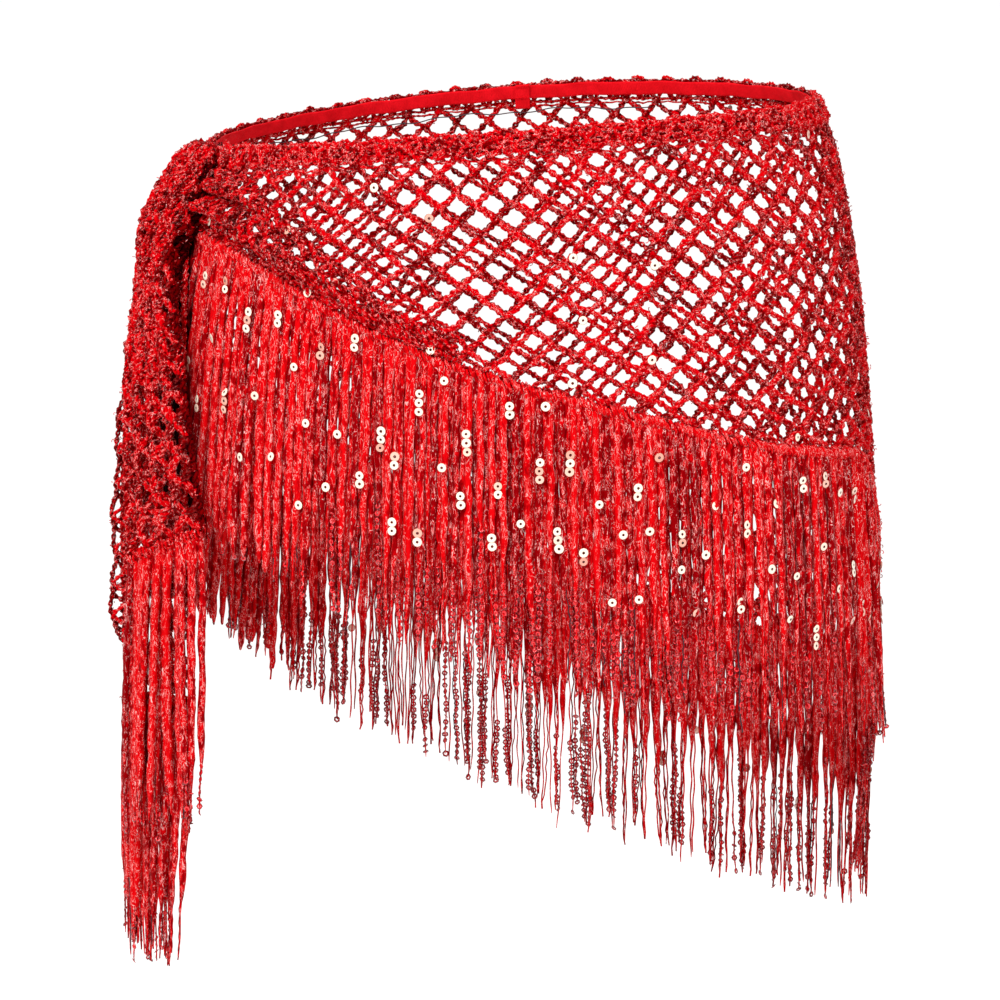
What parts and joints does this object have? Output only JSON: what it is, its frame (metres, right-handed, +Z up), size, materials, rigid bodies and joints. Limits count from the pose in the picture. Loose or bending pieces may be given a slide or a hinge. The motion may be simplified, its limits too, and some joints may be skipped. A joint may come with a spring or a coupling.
{
  "type": "belly dance hip scarf",
  "caption": "Open net hip scarf with long fringe and sequins, wound round the hips, knotted at one side, with its worn hollow form.",
  "frame": {"origin": "centre of the waist opening, at the mean height of the waistband", "axes": "+Z up, +X towards the hip where the long point hangs, -Y towards the front; the knot is near -X"},
  "size_m": [0.3879, 0.2514, 0.4438],
  "materials": {
    "net_yarn": "red net of fuzzy yarn spun with metallic film",
    "fringe_yarn": "red twisted fringe cords strung with sequins",
    "tape": "flat red woven tape"
  },
  "bodies": {
    "root": {"waist_tape": "tape", "back_join": "tape", "front_casing": "net_yarn", "back_casing": "net_yarn", "front_net": "net_yarn", "back_net": "net_yarn", "knot": "net_yarn", "front_tail": "net_yarn", "back_tail": "net_yarn", "front_fringe": "fringe_yarn", "back_fringe": "fringe_yarn", "front_tail_fringe": "fringe_yarn", "back_tail_fringe": "fringe_yarn"}
  },
  "joints": []
}
